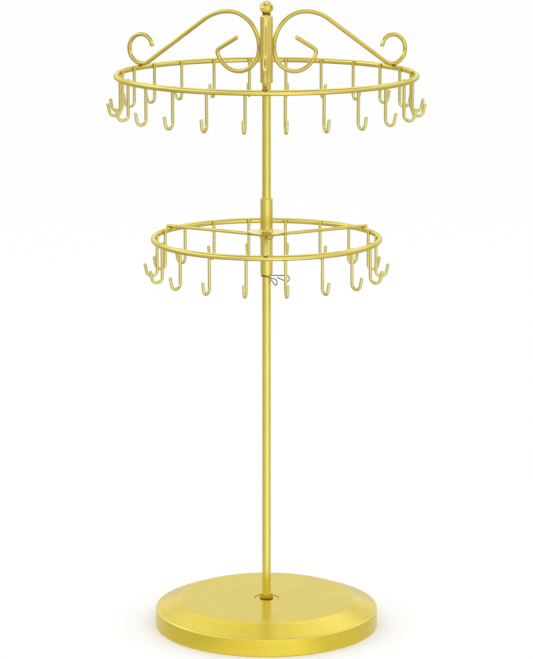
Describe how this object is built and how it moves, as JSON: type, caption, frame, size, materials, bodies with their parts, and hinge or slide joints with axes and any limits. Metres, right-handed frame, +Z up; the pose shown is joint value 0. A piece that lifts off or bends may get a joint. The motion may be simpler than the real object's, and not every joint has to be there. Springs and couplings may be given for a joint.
{
  "type": "rotating necklace stand",
  "caption": "Gold-coloured metal necklace stand: round weighted base, slim pole, and two turning rings of wire hooks, the upper one braced by scrolls under a ball finial.",
  "frame": {"origin": "centre of the foot pad's underside, on the pole's axis, where the stand rests", "axes": "+Z up along the pole, front -Y, +X to the right seen from the front"},
  "size_m": [0.2154, 0.2195, 0.4357],
  "materials": {
    "gold_plating": "satin gold plating on steel, fine circular brushing on the base",
    "ballast_iron": "rough cast",
    "foot_pad": "matte foam sheet",
    "spring_steel": "dark drawn spring wire"
  },
  "bodies": {
    "stand": {"base_shell": "gold_plating", "base_weight": "ballast_iron", "base_pad": "foot_pad", "lower_pole": "gold_plating", "upper_pole": "gold_plating", "retaining_clip": "spring_steel", "finial": "gold_plating"},
    "lower_tier": {"lower_sleeve": "gold_plating", "lower_hub_disc": "gold_plating", "lower_ring": "gold_plating", "lower_spoke_front": "gold_plating", "lower_spoke_right": "gold_plating", "lower_spoke_left": "gold_plating", "lower_hook_01": "gold_plating", "lower_hook_02": "gold_plating", "lower_hook_03": "gold_plating", "lower_hook_04": "gold_plating", "lower_hook_05": "gold_plating", "lower_hook_06": "gold_plating", "lower_hook_07": "gold_plating", "lower_hook_08": "gold_plating", "lower_hook_09": "gold_plating", "lower_hook_10": "gold_plating", "lower_hook_11": "gold_plating", "lower_hook_12": "gold_plating", "lower_hook_13": "gold_plating", "lower_hook_14": "gold_plating", "lower_hook_15": "gold_plating", "lower_hook_16": "gold_plating", "lower_hook_17": "gold_plating", "lower_hook_18": "gold_plating"},
    "upper_tier": {"upper_sleeve": "gold_plating", "upper_ring": "gold_plating", "upper_scroll_front": "gold_plating", "upper_scroll_right": "gold_plating", "upper_scroll_left": "gold_plating", "upper_hook_01": "gold_plating", "upper_hook_02": "gold_plating", "upper_hook_03": "gold_plating", "upper_hook_04": "gold_plating", "upper_hook_05": "gold_plating", "upper_hook_06": "gold_plating", "upper_hook_07": "gold_plating", "upper_hook_08": "gold_plating", "upper_hook_09": "gold_plating", "upper_hook_10": "gold_plating", "upper_hook_11": "gold_plating", "upper_hook_12": "gold_plating", "upper_hook_13": "gold_plating", "upper_hook_14": "gold_plating", "upper_hook_15": "gold_plating", "upper_hook_16": "gold_plating", "upper_hook_17": "gold_plating", "upper_hook_18": "gold_plating", "upper_hook_19": "gold_plating", "upper_hook_20": "gold_plating", "upper_hook_21": "gold_plating", "upper_hook_22": "gold_plating", "upper_hook_23": "gold_plating", "upper_hook_24": "gold_plating"}
  },
  "joints": [
    {"name": "lower_tier_turn", "type": "hinge", "parent": "stand", "child": "lower_tier", "pos_m": [0, 0, 0.2751], "axis": [0, 0, 1], "continuous": true},
    {"name": "upper_tier_turn", "type": "hinge", "parent": "stand", "child": "upper_tier", "pos_m": [0, 0, 0.4031], "axis": [0, 0, 1], "continuous": true}
  ]
}
